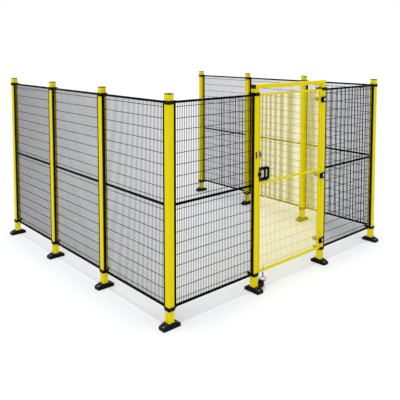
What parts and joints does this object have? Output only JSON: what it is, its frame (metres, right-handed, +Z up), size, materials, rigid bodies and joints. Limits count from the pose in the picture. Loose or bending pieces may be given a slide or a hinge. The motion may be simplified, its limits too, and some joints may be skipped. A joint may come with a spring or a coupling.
{
  "type": "machine guard fence",
  "caption": "Free-standing machine guard fence of framed mesh panels on square posts, open at the back, with a hinged mesh door that a castor carries.",
  "frame": {"origin": "on the floor, at the middle of the fence's bounding box", "axes": "+Z up; +X along the front wall, from its free corner towards the wall that the door hangs nearest; -Y is the outer side of the front wall, which holds the door, and +Y is the open side"},
  "size_m": [3.414, 3.341, 2.072],
  "materials": {
    "post_paint": "semi-gloss powder coat, yellow",
    "panel_paint": "semi-gloss powder coat, black",
    "leaf_paint": "semi-gloss powder coat, yellow",
    "foot_black": "black coated casting",
    "cap_black": "moulded black plastic",
    "clamp_black": "moulded black plastic, glass filled",
    "hinge_black": "black coated die casting",
    "pin_steel": "zinc-plated steel",
    "handle_black": "moulded black plastic",
    "staple_steel": "zinc-plated steel",
    "castor_zinc": "bright zinc-plated pressed steel",
    "castor_black": "black coated pressed steel",
    "wheel_hub": "black moulded nylon",
    "wheel_tyre": "dark red polyurethane"
  },
  "bodies": {
    "fence": {"post_left_end": "post_paint", "post_left_far": "post_paint", "post_left_near": "post_paint", "post_left_corner": "post_paint", "post_latch": "post_paint", "post_hinge": "post_paint", "post_right_corner": "post_paint", "post_right_near": "post_paint", "post_right_far": "post_paint", "post_right_end": "post_paint", "foot_left_end": "foot_black", "foot_left_far": "foot_black", "foot_left_near": "foot_black", "foot_left_corner": "foot_black", "foot_latch": "foot_black", "foot_hinge": "foot_black", "foot_right_corner": "foot_black", "foot_right_near": "foot_black", "foot_right_far": "foot_black", "foot_right_end": "foot_black", "panel_left_far": "panel_paint", "panel_left_middle": "panel_paint", "panel_left_near": "panel_paint", "panel_front_left": "panel_paint", "panel_front_right": "panel_paint", "panel_right_near": "panel_paint", "panel_right_middle": "panel_paint", "panel_right_far": "panel_paint", "post_caps": "cap_black", "clamps_left": "clamp_black", "clamps_front": "clamp_black", "clamps_right": "clamp_black", "header_beam": "post_paint", "header_end_caps": "cap_black", "hinges_post_side": "hinge_black", "staple_post": "staple_steel"},
    "door": {"door_leaf": "leaf_paint", "hinges_leaf_side": "hinge_black", "hinge_pins": "pin_steel", "door_handle": "handle_black", "staple_leaf": "staple_steel", "castor_stem": "castor_zinc"},
    "castor": {"castor_fork": "castor_black"},
    "wheel": {"castor_wheel": "wheel_hub", "castor_tyre": "wheel_tyre"}
  },
  "joints": [
    {"name": "door_swing", "type": "hinge", "parent": "fence", "child": "door", "pos_m": [0.501, -1.6175, 1.08], "axis": [0, 0, 1], "range_deg": [0, 170]},
    {"name": "castor_swivel", "type": "hinge", "parent": "door", "child": "castor", "pos_m": [-0.43, -1.5935, 0.095], "axis": [0, 0, 1], "continuous": true},
    {"name": "wheel_spin", "type": "hinge", "parent": "castor", "child": "wheel", "pos_m": [-0.43, -1.5655, 0.038], "axis": [1, 0, 0], "continuous": true}
  ]
}
